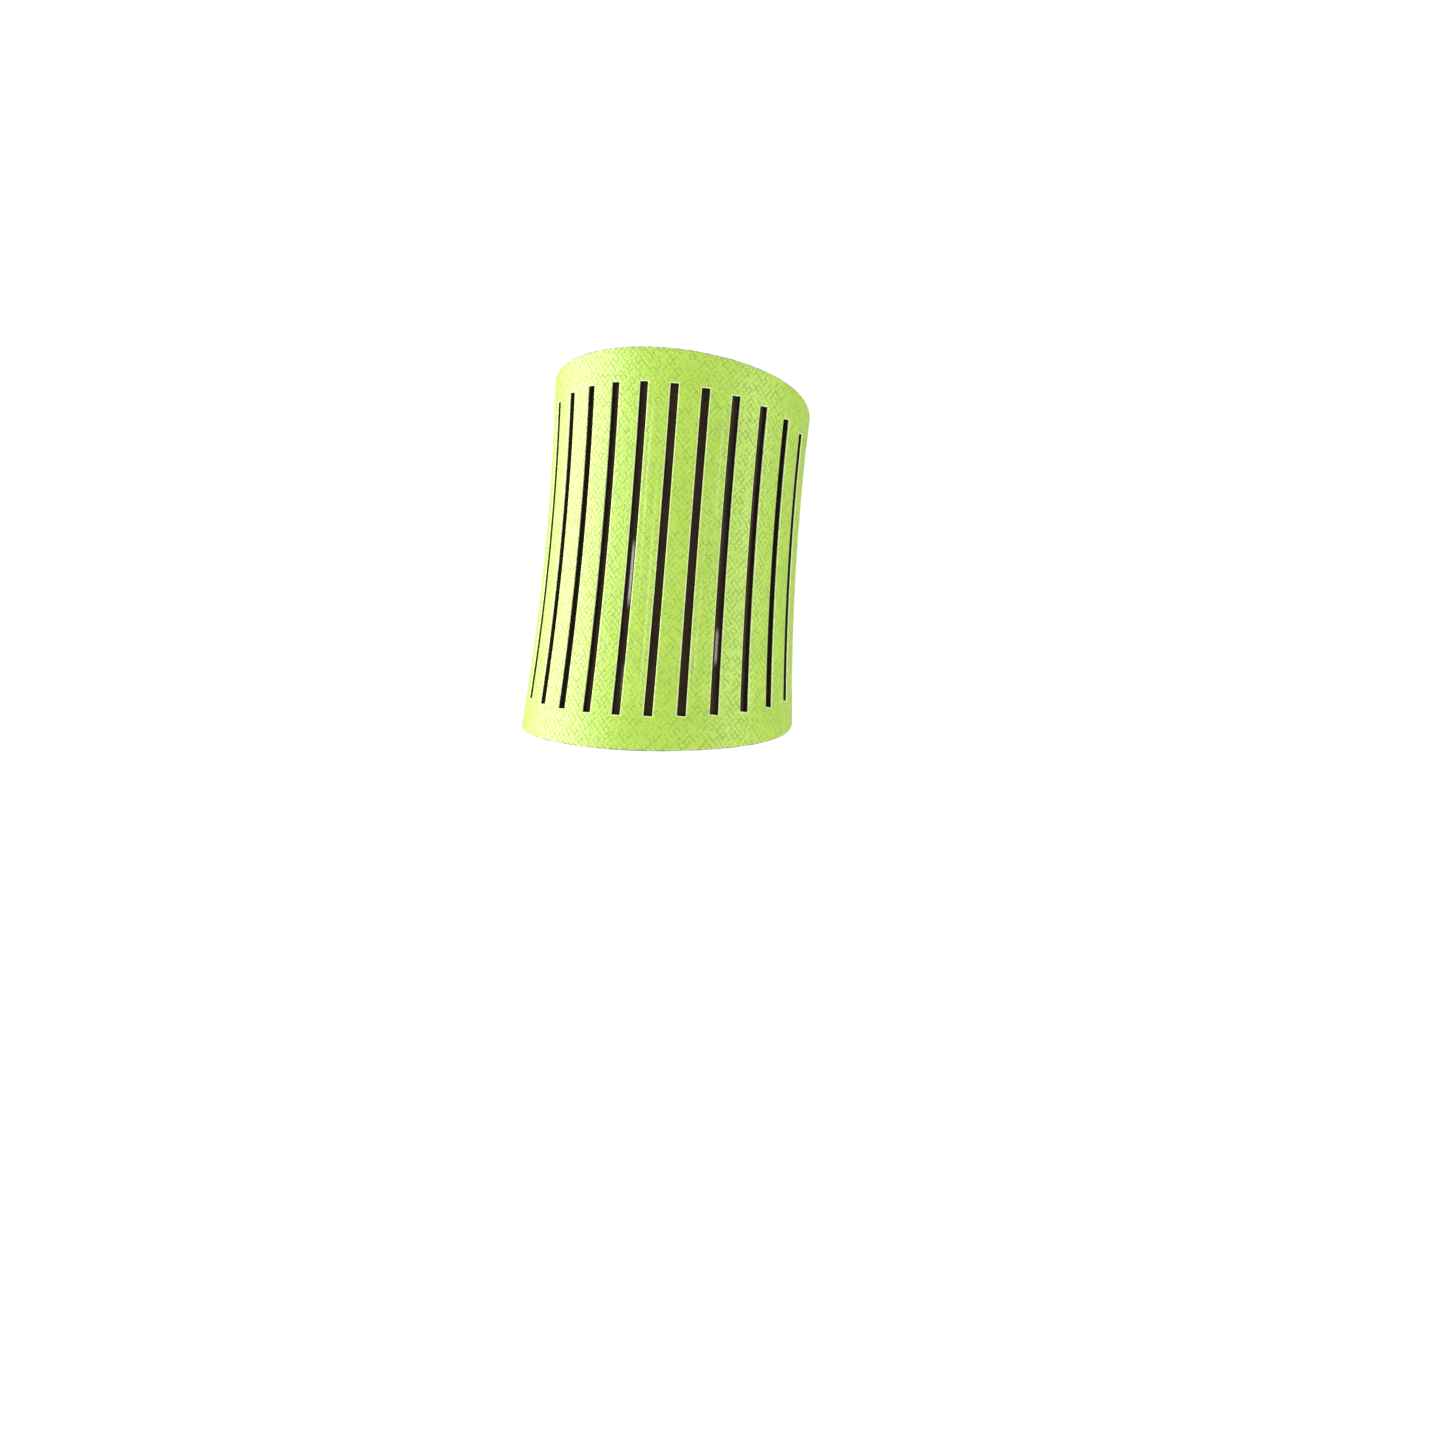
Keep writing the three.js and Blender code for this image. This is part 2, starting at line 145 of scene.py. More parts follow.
def plan_line(side, flat_y, beyond):
    """Distances along one half of the band in plan, and the points there: oval, easing bend, flat."""
    angles = np.linspace(-math.pi / 2, -math.pi / 2 + side * OVAL_TURN, 3000)
    oval = np.stack([BAND_HALF_WIDTH * np.cos(angles), BAND_HALF_DEPTH * np.sin(angles)], 1)
    end = oval[-1]
    last = angles[-1]
    heading = side * np.array([-BAND_HALF_WIDTH * math.sin(last), BAND_HALF_DEPTH * math.cos(last)])
    heading /= np.linalg.norm(heading)
    flat_start = np.array([side * FLAT_HALF_LENGTH, flat_y])
    reach = BEND_REACH * np.linalg.norm(flat_start - end)
    handles = (end, end + reach * heading, flat_start + [side * reach, 0], flat_start)
    t = np.linspace(0, 1, 1500)[1:, None]
    weights = ((1 - t) ** 3, 3 * t * (1 - t) ** 2, 3 * t * t * (1 - t), t ** 3)
    bend = sum(w * h for w, h in zip(weights, handles))
    tip = np.array([-side * beyond, flat_y])
    flat = flat_start + np.linspace(0, 1, 500)[1:, None] * (tip - flat_start)
    points = np.concatenate([oval, bend, flat])
    steps = np.linalg.norm(np.diff(points, axis=0), axis=1)
    return np.concatenate([[0], np.cumsum(steps)]), points


FLAP_LINE = plan_line(1, BACK_Y, TAB_BEYOND_STUDS)
UNDERLAP_LINE = plan_line(-1, BACK_Y - UNDERLAP_DROP, UNDERLAP_BEYOND_STUDS)
FLAP_END = float(FLAP_LINE[0][-1])
UNDERLAP_END = float(UNDERLAP_LINE[0][-1])


def plan_points(along):
    along = np.asarray(along, float)
    found = []
    for axis in (0, 1):
        flap = np.interp(along, FLAP_LINE[0], FLAP_LINE[1][:, axis])
        underlap = np.interp(-along, UNDERLAP_LINE[0], UNDERLAP_LINE[1][:, axis])
        found.append(np.where(along >= 0, flap, underlap))
    return np.stack(found, -1)


def plan_outward(along):
    """The outward direction in plan, from the line's heading over a short stretch each side."""
    reach = 0.15 * MM
    ahead = np.minimum(along + reach, FLAP_END)
    behind = np.maximum(along - reach, -UNDERLAP_END)
    heading = plan_points(ahead) - plan_points(behind)
    heading /= np.linalg.norm(heading, axis=-1, keepdims=True)
    return np.stack([heading[..., 1], -heading[..., 0]], -1)


def band_point(along, z, outwards):
    """Points of the band: along it, up it, and out from its outer face, as an array of x, y, z."""
    along, z, outwards = np.broadcast_arrays(along, z, outwards)
    fade = 1 - smoothstep(np.abs(along), *FLARE_FADE)
    share = z / EDGE_HALF_HEIGHT
    flare = fade * (FLARE_AT_EDGE * share ** 2 - LEAN_AT_EDGE * share)
    plan = plan_points(along) + plan_outward(along) * (flare + outwards)[..., None]
    return np.concatenate([plan, z[..., None]], -1)


# ---- Outline of the strip

def uncornered_half_height(along):
    swept = EDGE_HALF_HEIGHT - along ** 2 / (2 * EDGE_RADIUS)
    over = np.clip(swept - TAB_HALF_HEIGHT, -EDGE_EASE, EDGE_EASE)
    eased = TAB_HALF_HEIGHT + (over + EDGE_EASE) ** 2 / (4 * EDGE_EASE)
    return np.where(swept - TAB_HALF_HEIGHT >= EDGE_EASE, swept, eased)


def to_tip(along):
    return np.where(along > 0, FLAP_END - along, UNDERLAP_END + along)


def edge_half_height(along):
    into = np.clip(TAB_CORNER - to_tip(along), 0, TAB_CORNER)
    return uncornered_half_height(along) - TAB_CORNER + np.sqrt(TAB_CORNER ** 2 - into ** 2)


def slot_half_length(number):
    return uncornered_half_height(np.asarray(number * SLOT_PITCH, float)) - SLOT_MARGIN


def slot_end_height(along):
    """The height that the grid's rows step to at the slots' ends: level across each slot, easing between."""
    level = SLOT_WIDTH / 2 + SLOT_LEVEL
    size = np.abs(along)
    number = np.minimum(np.floor(size / SLOT_PITCH), SLOTS_EACH_SIDE)
    past = size - number * SLOT_PITCH
    share = np.clip((past - level) / (SLOT_PITCH - 2 * level), 0, 1)
    share = np.where(number < SLOTS_EACH_SIDE, smoothstep(share, 0, 1), share)
    stepped = (number + share) * SLOT_PITCH
    last = (SLOTS_EACH_SIDE + 1) * SLOT_PITCH
    return uncornered_half_height(np.where(size > last, size, stepped)) - SLOT_MARGIN


def distance_to_cut(along, z, slotted):
    """How far a point of the strip lies from the nearest cut edge."""
    up = np.abs(z)
    slope = along / EDGE_RADIUS
    height = uncornered_half_height(along)
    tip = to_tip(along)
    distance = np.minimum((height - up) / np.sqrt(1 + slope ** 2), tip)
    past = np.stack([TAB_CORNER - tip, up - (height - TAB_CORNER)])
    corner = TAB_CORNER - np.hypot(*np.maximum(past, 0))
    distance = np.where((past > 0).all(0), np.minimum(distance, corner), distance)
    if slotted:
        number = np.clip(np.round(along / SLOT_PITCH), -SLOTS_EACH_SIDE, SLOTS_EACH_SIDE)
        beside = np.maximum(np.abs(along - number * SLOT_PITCH) - SLOT_WIDTH / 2, 0)
        beyond = np.maximum(up - slot_half_length(number), 0)
        distance = np.minimum(distance, np.hypot(beside, beyond))
    return np.maximum(distance, 0)


# ---- Relief: how the real surface differs from the plain one

def wave(along, z):
    """Slow unevenness, from a few long waves that don't line up, and the sides' fullness."""
    total = 0
    for strength, wide, tall, shift in ((1, 31, 47, 0.4), (0.7, 17, 29, 2.1), (0.45, 9.5, 61, 4.4)):
        total = total + strength * np.sin(along / (wide * MM) + z / (tall * MM) + shift)
    fullness = np.exp(-((np.abs(along) - BULGE_AT) / BULGE_WIDTH) ** 2)
    fullness = np.where(along < 0, LEFT_BULGE, RIGHT_BULGE) * fullness
    return WAVE * total / 2 * (1 - smoothstep(np.abs(along), *WAVE_FADE)) + fullness


def strip_creases(along, z):
    """How deep, from 0 to about 1, the two creases along each strip are. They end before the slots do."""
    number = np.floor(along / SLOT_PITCH)
    share = np.vectorize(lambda strip: CREASED.get(int(strip), LITTLE_CREASED))(number)
    width = SLOT_PITCH - SLOT_WIDTH
    across = (along - number * SLOT_PITCH - SLOT_WIDTH / 2) / width
    end = slot_end_height(along)
    reach = 1 - smoothstep(np.abs(z), CREASE_FADE[0] * end, CREASE_FADE[1] * end)
    depth = 0
    for n, place in enumerate(CREASE_PLACES):
        wander = CREASE_WANDER * np.sin(z / (11 * MM) + 2.3 * number + n)
        off = ((across - place) * width + wander) / CREASE_HALF_WIDTH
        strength = 0.55 + 0.45 * np.sin(z / (13 * MM) + 1.7 * number + 2.6 * n)
        depth = depth + strength * np.exp(-off ** 2)
    inside = np.abs(along) < SLOTS_EACH_SIDE * SLOT_PITCH
    return share * depth * reach * inside


def from_studs(along, z):
    """Distance to the nearest press stud's axis, along the leather."""
    flap = FLAP_END - TAB_BEYOND_STUDS
    underlap = UNDERLAP_BEYOND_STUDS - UNDERLAP_END
    nearest = np.full(np.shape(along), np.inf)
    for centre in (flap, underlap):
        nearest = np.minimum(nearest, np.hypot(along - centre, np.abs(z) - STUD_HALF_SPACING))
    return nearest


def swell(from_stud):
    return SWELL * np.exp(-(np.maximum(from_stud - CAP_R, 0) / SWELL_FADE) ** 2)


def press_ring(from_stud):
    return PRESS_RING * np.exp(-((from_stud - PRESS_RING_R) / PRESS_RING_WIDTH) ** 2)


def cut_turn(distance):
    inside = np.clip(CUT_ROUND - distance, 0, CUT_ROUND)
    return CUT_ROUND - np.sqrt(CUT_ROUND ** 2 - inside ** 2)


# ---- Leather meshes

EDGE_STEPS = np.array([0, 0.03, 0.09, 0.22]) * MM
STRIP_STEPS = np.array([0.6, 1.0, 1.27, 1.485, 1.7, 2.0, 2.4]) * MM
MIDDLE_ROWS = 34
MARGIN_ROWS = 8
PLAIN_STEP = 0.6 * MM
CORNER_COLUMNS = 16
LINING_STEP = 0.8 * MM
LINING_LAST_STEP = 0.3 * MM
LEAST_MARGIN_ROWS = 6 * EDGE_STEPS[-1]     # the rows past the slots' ends always have this much room
HOLE_STEPS = 48
SHARP_ANGLE = math.radians(50)
SIDE_BORDER = 45 * MM      # the visible pieces meet at these distances from the front
TAB_BORDER = 75 * MM


def strip_columns():
    """Every column of the strip's grid, from the underlap's tip to the flap's."""
    width = SLOT_PITCH - SLOT_WIDTH
    half_strip = np.concatenate([EDGE_STEPS[1:], STRIP_STEPS])
    strip = np.concatenate([half_strip, [width / 2], width - half_strip])
    slot = SLOT_WIDTH * np.array([-0.5, -0.25, 0, 0.25, 0.5])
    columns = []
    for number in range(-SLOTS_EACH_SIDE, SLOTS_EACH_SIDE + 1):
        columns.extend(number * SLOT_PITCH + slot)
        if number < SLOTS_EACH_SIDE:
            columns.extend(number * SLOT_PITCH + SLOT_WIDTH / 2 + strip)
    last = SLOTS_EACH_SIDE * SLOT_PITCH + SLOT_WIDTH / 2
    turn = np.linspace(0, math.pi / 2, CORNER_COLUMNS)
    for side, end in ((1, FLAP_END), (-1, UNDERLAP_END)):
        corner = end - TAB_CORNER * (1 - np.cos(turn))
        count = round((end - TAB_CORNER - last) / PLAIN_STEP)
        plain = np.linspace(last + EDGE_STEPS[-1], end - TAB_CORNER, count)[:-1]
        nudge = np.argmin(np.abs(plain - TAB_BORDER))
        plain[nudge] = TAB_BORDER
        columns.extend(side * np.concatenate([last + EDGE_STEPS[1:-1], plain, corner]))
    return np.unique(np.round(columns, 9))


def row_heights(columns):
    """The grid's heights, one row of the array for each column, and which rows lie in the slots' reach."""
    top = edge_half_height(columns)[:, None]
    end = np.minimum(slot_end_height(columns), edge_half_height(columns) - LEAST_MARGIN_ROWS)[:, None]
    middle = end * np.linspace(0, 1, MIDDLE_ROWS)[None, :]
    first = end + EDGE_STEPS[None, 1:]
    last = top - EDGE_STEPS[None, ::-1]
    between = first[:, -1:] + (last[:, :1] - first[:, -1:]) * np.linspace(0, 1, MARGIN_ROWS)[None, 1:-1]
    half = np.concatenate([middle, first, between, last], 1)
    heights = np.concatenate([-half[:, :0:-1], half], 1)
    slot_rows = np.zeros(heights.shape[1] - 1, bool)
    centre = half.shape[1] - 1
    slot_rows[centre - (MIDDLE_ROWS - 1):centre + MIDDLE_ROWS - 1] = True
    return heights, slot_rows


def kept_cells(columns, slot_rows, slotted):
    """Which cells of the grid are leather, and not slot."""
    cells = np.ones((len(columns) - 1, len(slot_rows)), bool)
    if slotted:
        middle = (columns[1:] + columns[:-1]) / 2
        in_slot = np.abs(middle - np.round(middle / SLOT_PITCH) * SLOT_PITCH) < SLOT_WIDTH / 2
        in_slot &= np.abs(middle) < SLOTS_EACH_SIDE * SLOT_PITCH + SLOT_WIDTH
        cells[np.ix_(in_slot, slot_rows)] = False
    return cells


def grid_faces(cells):
    """The outer faces, inner faces and walls of a grid's kept cells. Inner points come after outer ones."""
    n_columns, n_rows = cells.shape[0] + 1, cells.shape[1] + 1
    count = n_columns * n_rows
    index = np.arange(count).reshape(n_columns, n_rows)
    a, b = index[:-1, :-1], index[1:, :-1]
    d, c = index[:-1, 1:], index[1:, 1:]
    corners = np.stack([a, b, c, d], -1)
    padded = np.zeros((n_columns + 1, n_rows + 1), bool)
    padded[1:-1, 1:-1] = cells
    sides = (
        (padded[:-2, 1:-1], a, d),
        (padded[2:, 1:-1], c, b),
        (padded[1:-1, :-2], b, a),
        (padded[1:-1, 2:], d, c),
    )
    walls = []
    for neighbour, p, q in sides:
        open_side = cells & ~neighbour
        p, q = p[open_side], q[open_side]
        walls.append(np.stack([p, q, q + count, p + count], -1))
    return corners[cells], corners[cells][:, ::-1] + count, np.concatenate(walls)


def leather_piece(name, start, stop, top, bottom, slotted, materials):
    """One closed piece of a layer between two distances, from depth top to depth bottom.

    Its materials are the face's and the cut edge's.
    """
    columns = strip_columns()
    columns = columns[(columns >= start - 1e-7) & (columns <= stop + 1e-7)]
    if not slotted:
        columns = columns[thin_out(columns)]
    heights, slot_rows = row_heights(columns)
    along = np.broadcast_to(columns[:, None], heights.shape)
    distance = distance_to_cut(along, heights, slotted)
    from_stud = from_studs(along, heights)
    creases = strip_creases(along, heights) * slotted
    relief = wave(along, heights) + swell(from_stud) - press_ring(from_stud) - CREASE_DEPTH * creases
    outer = band_point(along, heights, relief - cut_turn(distance) - top)
    inner = band_point(along, heights, wave(along, heights) - swell(from_stud) * (not slotted) - bottom)

    face_sets = grid_faces(kept_cells(columns, slot_rows, slotted))
    faces = np.concatenate(face_sets)
    used, faces = np.unique(faces, return_inverse=True)
    faces = faces.reshape(-1, 4)
    points = np.concatenate([outer.reshape(-1, 3), inner.reshape(-1, 3)])[used]
    mesh = bpy.data.meshes.new(name)
    mesh.from_pydata(points.tolist(), [], faces.tolist())

    # the walls are burnt, and so is the outer leather's hidden inner side, which shows only at the rim
    burnt_faces = np.zeros(len(faces), np.int32)
    first_burnt = len(face_sets[0]) if slotted else len(face_sets[0]) + len(face_sets[1])
    burnt_faces[first_burnt:] = 1
    for material in materials:
        mesh.materials.append(material)
    mesh.polygons.foreach_set("material_index", burnt_faces)
    mesh.polygons.foreach_set("use_smooth", np.ones(len(faces), bool))

    flat = np.stack([along.ravel(), heights.ravel()], 1)
    flat = np.concatenate([flat, flat])[used]
    uv = mesh.uv_layers.new(name="flat_strip")
    uv.data.foreach_set("uv", flat[faces.ravel()].astype(np.float32).ravel())
    on_points = {
        "cut_distance": np.tile(distance.ravel(), 2),
        "outline_distance": np.tile(distance_to_cut(along, heights, False).ravel(), 2),
        "crease": np.tile(creases.ravel(), 2),
        "outside": np.repeat([1, 0], heights.size),
    }
    for label, values in on_points.items():
        attribute = mesh.attributes.new(label, "FLOAT", "POINT")
        attribute.data.foreach_set("value", values[used].astype(np.float32))
    mesh.set_sharp_from_angle(angle=SHARP_ANGLE)
    mesh.validate()
    piece = bpy.data.objects.new(name, mesh)
    bpy.context.scene.collection.objects.link(piece)
    return piece


def thin_out(columns):
    """Which columns the uncut lining keeps: those a step apart, all at the tips, and both borders."""
    kept = [0]
    for n in range(1, len(columns) - 1):
        ends_well = columns[-1] - columns[n] > LINING_LAST_STEP or abs(columns[n]) > TAB_BORDER
        near_tip = min(FLAP_END - columns[n], UNDERLAP_END + columns[n]) < TAB_CORNER
        if near_tip or (columns[n] - columns[kept[-1]] > LINING_STEP and ends_well):
            kept.append(n)
    return np.array(kept + [len(columns) - 1])


def drill(piece, tube_r, centre_y):
    """Cuts the two holes for the press studs' tubes."""
    for side in (-1, 1):
        bpy.ops.mesh.primitive_cylinder_add(
            vertices=HOLE_STEPS, radius=tube_r + LEATHER_HOLE_CLEARANCE, depth=4 * LEATHER_THICKNESS,
            location=(0, centre_y, side * STUD_HALF_SPACING), rotation=(math.pi / 2, 0, 0))
        cutter = bpy.context.object
        cut = piece.modifiers.new("hole", "BOOLEAN")
        cut.object, cut.operation, cut.solver = cutter, "DIFFERENCE", "EXACT"
        applied = bpy.data.meshes.new_from_object(piece.evaluated_get(bpy.context.evaluated_depsgraph_get()))
        piece.modifiers.clear()
        piece.data = applied
        bpy.data.objects.remove(cutter)


# name, start, stop, the two bodies it joins, and the distances where the bend between them starts and ends
STRETCHES = (
    ("underlap", -UNDERLAP_END, -SIDE_BORDER, "left_side", "underlap", -46.2 * MM, -73.8 * MM),
    ("front_left", -SIDE_BORDER, 0, "front", "left_side", -15 * MM, -43.8 * MM),
    ("front_right", 0, SIDE_BORDER, "front", "right_side", 15 * MM, 43.8 * MM),
    ("back_right", SIDE_BORDER, TAB_BORDER, "right_side", "right_back", 46.2 * MM, 73.8 * MM),
    ("tab", TAB_BORDER, FLAP_END, "right_back", "snap_tab", 76 * MM, 88.6 * MM),
)


# ---- Materials

class Nodes:
    """Short ways to add and join shader nodes."""

    def __init__(self, name):
        self.material = bpy.data.materials.new(name)
        self.material.use_nodes = True
        self.tree = self.material.node_tree
        self.shader = self.tree.nodes["Principled BSDF"]

    def new(self, kind, **settings):
        node = self.tree.nodes.new(kind)
        for key, value in settings.items():
            setattr(node, key, value)
        return node

    def join(self, source, target):
        self.tree.links.new(source, target)

    def feed(self, socket, value):
        if isinstance(value, bpy.types.NodeSocket):
            self.join(value, socket)
        else:
            socket.default_value = value

    def math(self, operation, a, b=0.0, c=0.0):
        node = self.new("ShaderNodeMath", operation=operation)
        for socket, value in zip(node.inputs, (a, b, c)):
            self.feed(socket, value)
        return node.outputs[0]

    def ramp(self, value, low, high, to_low=0.0, to_high=1.0):
        node = self.new("ShaderNodeMapRange", interpolation_type="SMOOTHSTEP")
        for socket, each in zip(node.inputs, (value, low, high, to_low, to_high)):
            self.feed(socket, each)
        return node.outputs[0]

    def mix(self, share, a, b):
        """A mix of two colours, whose sockets are the node's inputs 6 and 7 and its output 2."""
        node = self.new("ShaderNodeMix", data_type="RGBA")
        self.feed(node.inputs[0], share)
        self.feed(node.inputs[6], a)
        self.feed(node.inputs[7], b)
        return node.outputs[2]

    def noise(self, vector, scale, detail=2.0, roughness=0.5):
        node = self.new("ShaderNodeTexNoise")
        self.join(vector, node.inputs["Vector"])
        node.inputs["Scale"].default_value = scale
        node.inputs["Detail"].default_value = detail
        node.inputs["Roughness"].default_value = roughness
        return node.outputs["Fac"]

    def bump(self, height, strength, distance, normal=None):
        node = self.new("ShaderNodeBump")
        node.inputs["Strength"].default_value = strength
        node.inputs["Distance"].default_value = distance
        self.join(height, node.inputs["Height"])
        if normal is not None:
            self.join(normal, node.inputs["Normal"])
        return node.outputs["Normal"]

    def place(self):
        return self.new("ShaderNodeTexCoord").outputs["Object"]


LIME = (0.43, 0.66, 0.052, 1)
LIME_DEEP = (0.34, 0.56, 0.030, 1)
LIME_PALE = (0.80, 0.92, 0.46, 1)
# darker lime painted into the hatch's grooves as shade
LIME_GROOVE = (0.24, 0.44, 0.020, 1)
SPECK = (0.16, 0.24, 0.03, 1)
# colour of the dark rim painted along the outline as shade
RIM_SHADE_COLOUR = (0.05, 0.045, 0.01, 1)
BURNT = (0.010, 0.007, 0.004, 1)
BURNT_FIBRE = (0.035, 0.024, 0.014, 1)
# the lining's dark brown is partly its own colour and partly painted shade: it is kept near black so the
# slots over it read as deep shade
LINING_DARK = (0.026, 0.015, 0.006, 1)
LINING_BROWN = (0.044, 0.027, 0.011, 1)
LINING_GRAIN = (0.058, 0.037, 0.016, 1)
NICKEL_DULL = (0.66, 0.64, 0.60, 1)
NICKEL_BRIGHT = (0.78, 0.76, 0.72, 1)
STEEL_DULL = (0.40, 0.39, 0.37, 1)
STEEL_BRIGHT = (0.56, 0.55, 0.52, 1)
HATCH_PITCH = 1.15         # in millimetres, as the pattern's own coordinates are
HATCH_SLANT = math.radians(40)
# the colour of the painted highlights in the slots
GLINT_COLOUR = (0.85, 0.79, 0.76, 1)
# painted highlights, pale streaks that stand for glints in the slots: slot number from the front one, how
# far right of its middle, height of the middle, half length, strength
GLINT_STREAKS = (
    (0, 0, -6 * MM, 9 * MM, 1.0),
    (3, 0.2 * MM, -22 * MM, 5 * MM, 0.6),
    (-1, 0.6 * MM, 3 * MM, 11 * MM, 0.35),
    (0, 0.4 * MM, -32 * MM, 5 * MM, 0.15),
)


def hatch_pattern(n, flat):
    """From 0 in a groove to 1 between them: two sets of drifting, broken lines that cross."""
    parts = n.new("ShaderNodeSeparateXYZ")
    n.join(flat, parts.inputs[0])
    grooves = []
    for side, place in ((1, 0.0), (-1, 37.0)):
        moved = n.new("ShaderNodeVectorMath", operation="ADD")
        n.join(flat, moved.inputs[0])
        moved.inputs[1].default_value = (place, place, 0)
        drift = n.math("MULTIPLY_ADD", n.noise(moved.outputs[0], 0.6, 3), 0.9, -0.45)
        across = n.math("MULTIPLY", parts.outputs[0], side * math.cos(HATCH_SLANT) / HATCH_PITCH)
        run = n.math("MULTIPLY_ADD", parts.outputs[1], math.sin(HATCH_SLANT) / HATCH_PITCH, across)
        swing = n.math("SINE", n.math("MULTIPLY", n.math("ADD", run, drift), math.pi))
        groove = n.ramp(n.math("ABSOLUTE", swing), 0.0, 0.6, 1.0, 0.0)
        broken = n.ramp(n.noise(moved.outputs[0], 0.55, 3), 0.36, 0.62, 0.1, 1.0)
        grooves.append(n.math("MULTIPLY", groove, broken))
    return n.math("SUBTRACT", 1.0, n.math("MAXIMUM", grooves[0], grooves[1]))


def lime_leather():
    """Finished side: lime wax finish over a fine embossed cross-hatch."""
    n = Nodes("lime_leather")
    uv = n.new("ShaderNodeUVMap", uv_map="flat_strip").outputs[0]
    scaled = n.new("ShaderNodeVectorMath", operation="SCALE")
    n.join(uv, scaled.inputs[0])
    scaled.inputs["Scale"].default_value = 1 / MM
    flat = scaled.outputs[0]
    hatch = hatch_pattern(n, flat)
    grain = n.noise(flat, 2.7, 3, 0.7)
    tint = n.noise(flat, 0.12, 4, 0.6)
    base = n.mix(n.ramp(tint, 0.3, 0.7, 0.45, 1.0), LIME_DEEP, LIME)
    # the hatch's grooves are painted darker, as shade
    base = n.mix(n.ramp(hatch, 0.0, 0.8, 0.7, 0.0), base, LIME_GROOVE)
    crease = n.new("ShaderNodeAttribute", attribute_name="crease").outputs["Fac"]
    base = n.mix(n.math("MULTIPLY", crease, n.ramp(grain, 0.3, 0.7, 0.25, 0.6)), base, LIME_PALE)
    cut = n.new("ShaderNodeAttribute", attribute_name="cut_distance").outputs["Fac"]
    # a pale rim along every cut: partly edge wear, partly a painted highlight
    worn_rim_and_highlight = n.ramp(cut, 0.05 * MM, 0.42 * MM, 0.95, 0.0)
    base = n.mix(n.math("MULTIPLY", worn_rim_and_highlight, n.ramp(grain, 0.3, 0.6, 0.5, 1.0)), base, LIME_PALE)
    # a patchy dark rim painted along the outer cut edge, as shade
    outline = n.new("ShaderNodeAttribute", attribute_name="outline_distance").outputs["Fac"]
    rim_reach = n.math("ADD", outline, n.math("MULTIPLY", grain, 0.15 * MM))
    rim_patches = n.ramp(n.noise(flat, 0.9, 2), 0.38, 0.6, 0.45, 1.0)
    rim_shade = n.math("MULTIPLY", n.ramp(rim_reach, 0.2 * MM, 0.42 * MM, 0.9, 0.0), rim_patches)
    base = n.mix(rim_shade, base, RIM_SHADE_COLOUR)
    speck = n.math("GREATER_THAN", n.noise(flat, 3.1, 1), 0.79)
    base = n.mix(n.math("MULTIPLY", speck, 0.55), base, SPECK)
    n.join(base, n.shader.inputs["Base Color"])
    rough = n.math("ADD", n.ramp(hatch, 0.0, 0.8, 0.52, 0.36), n.math("MULTIPLY", grain, 0.08))
    n.join(rough, n.shader.inputs["Roughness"])
    fine = n.bump(grain, 0.9, 0.08 * MM)
    n.join(n.bump(hatch, 1.0, 0.15 * MM, fine), n.shader.inputs["Normal"])
    n.shader.inputs["Specular IOR Level"].default_value = 0.75
    n.shader.inputs["Coat Weight"].default_value = 0.3
    n.shader.inputs["Coat Roughness"].default_value = 0.45
    return n.material


def burnt_edge():
    """Cut faces: charred brown, a little fibrous."""
    n = Nodes("burnt_edge")
    place = n.place()
    fibre = n.noise(place, 2600, 4, 0.65)
    n.join(n.mix(n.ramp(fibre, 0.3, 0.72), BURNT, BURNT_FIBRE), n.shader.inputs["Base Color"])
    n.join(n.ramp(fibre, 0.2, 0.8, 0.6, 0.85), n.shader.inputs["Roughness"])
    n.shader.inputs["Specular IOR Level"].default_value = 0.2
    n.join(n.bump(fibre, 0.6, 0.06 * MM), n.shader.inputs["Normal"])
    return n.material


def dark_lining():
    """Dark brown leather with a fine grain. Pale streaks are painted on its outer face in some of the slots,
    as highlights.
    """
    n = Nodes("dark_lining")
    uv = n.new("ShaderNodeUVMap", uv_map="flat_strip").outputs[0]
    parts = n.new("ShaderNodeSeparateXYZ")
    n.join(uv, parts.inputs[0])
    place = n.place()
    grain = n.new("ShaderNodeTexVoronoi", feature="DISTANCE_TO_EDGE")
    n.join(place, grain.inputs["Vector"])
    grain.inputs["Scale"].default_value = 1500
    cells = n.ramp(grain.outputs["Distance"], 0.0, 0.22)
    cloud = n.noise(place, 130, 4, 0.6)
    fine = n.noise(place, 3500, 3, 0.6)
    base = n.mix(n.ramp(cloud, 0.3, 0.7), LINING_DARK, LINING_BROWN)
    base = n.mix(n.math("MULTIPLY", cells, 0.35), base, LINING_GRAIN)
    glint_share = 0.0
    for slot, aside, middle, reach, strength in GLINT_STREAKS:
        off = n.math("ABSOLUTE", n.math("SUBTRACT", parts.outputs[0], slot * SLOT_PITCH + aside))
        up = n.math("ABSOLUTE", n.math("SUBTRACT", parts.outputs[1], middle))
        wide = n.ramp(off, 0.1 * MM, 0.5 * MM, strength, 0.0)
        glint_share = n.math("MAXIMUM", glint_share, n.math("MULTIPLY", wide, n.ramp(up, 0.5 * reach, reach, 1.0, 0.0)))
    outside = n.new("ShaderNodeAttribute", attribute_name="outside").outputs["Fac"]
    glint_share = n.math("MULTIPLY", n.math("MULTIPLY", glint_share, outside), n.ramp(fine, 0.25, 0.6, 0.6, 1.0))
    base = n.mix(glint_share, base, GLINT_COLOUR)
    n.join(base, n.shader.inputs["Base Color"])
    polish = n.ramp(n.noise(place, 55, 2), 0.35, 0.75, 0.1, -0.2)
    n.join(n.math("ADD", n.ramp(fine, 0.2, 0.8, 0.5, 0.62), polish), n.shader.inputs["Roughness"])
    n.shader.inputs["Specular IOR Level"].default_value = 0.15
    n.join(n.bump(cells, 0.5, 0.05 * MM, n.bump(fine, 0.4, 0.03 * MM)), n.shader.inputs["Normal"])
    return n.material


